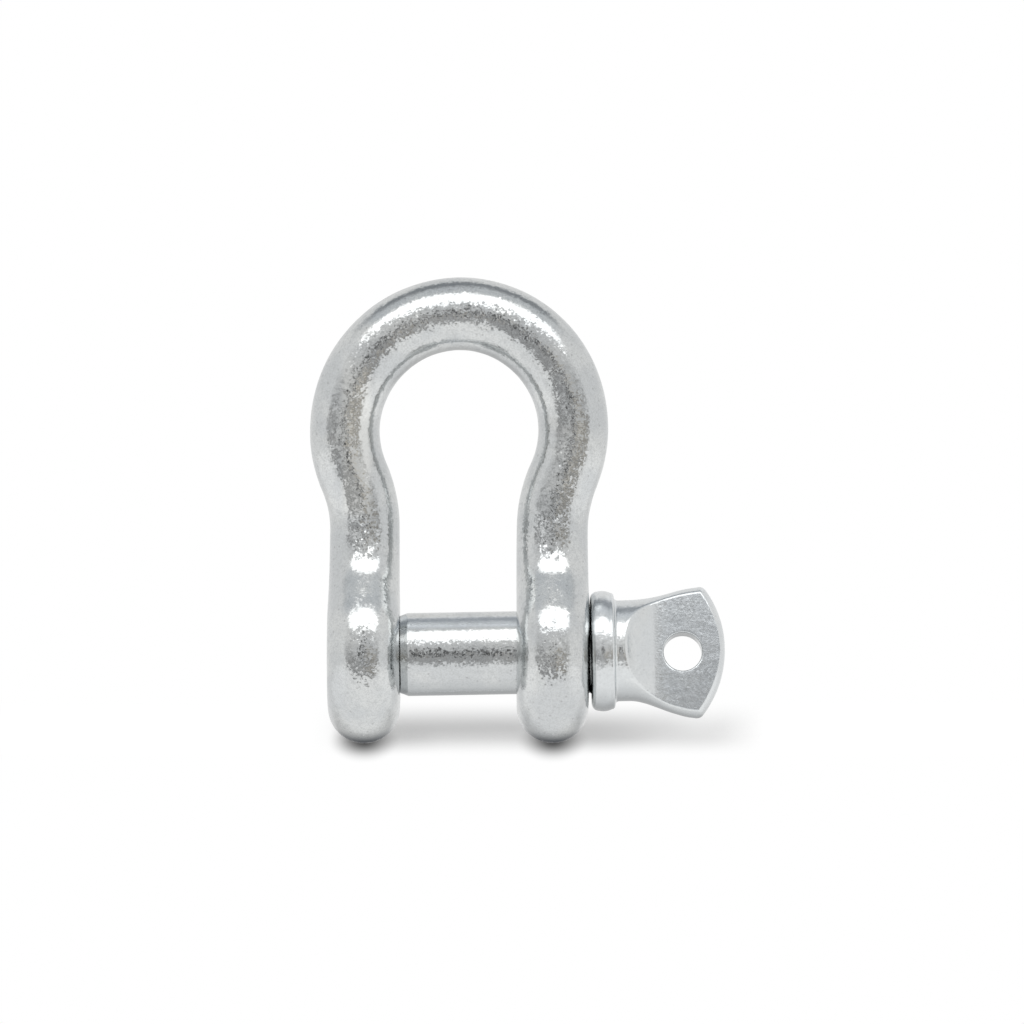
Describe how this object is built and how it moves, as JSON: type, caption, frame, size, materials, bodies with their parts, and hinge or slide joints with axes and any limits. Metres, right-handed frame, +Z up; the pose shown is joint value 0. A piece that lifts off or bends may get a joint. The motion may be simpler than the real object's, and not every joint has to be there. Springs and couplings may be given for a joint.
{
  "type": "shackle",
  "caption": "Forged bow shackle whose eared legs are closed by a screw pin with a collar and a flattened eye head, lying at rest on its side.",
  "frame": {"origin": "centre of the base of the bounding box, on the surface that the shackle lies on", "axes": "+X along the pin towards its head, +Y from the pin towards the crown, +Z up, away from the surface"},
  "size_m": [0.1134, 0.1257, 0.048],
  "materials": {
    "zinc_bow": "zinc coated, bright, with a fine grain",
    "zinc_pin": "zinc coated, bright, smoother on the shank"
  },
  "bodies": {
    "bow": {"bow": "zinc_bow"},
    "screw_pin": {"screw_pin": "zinc_pin"}
  },
  "joints": [
    {"name": "pin_withdraw", "type": "slide", "parent": "bow", "child": "screw_pin", "axis": [1, 0, 0], "range_m": [0, 0.072]}
  ]
}
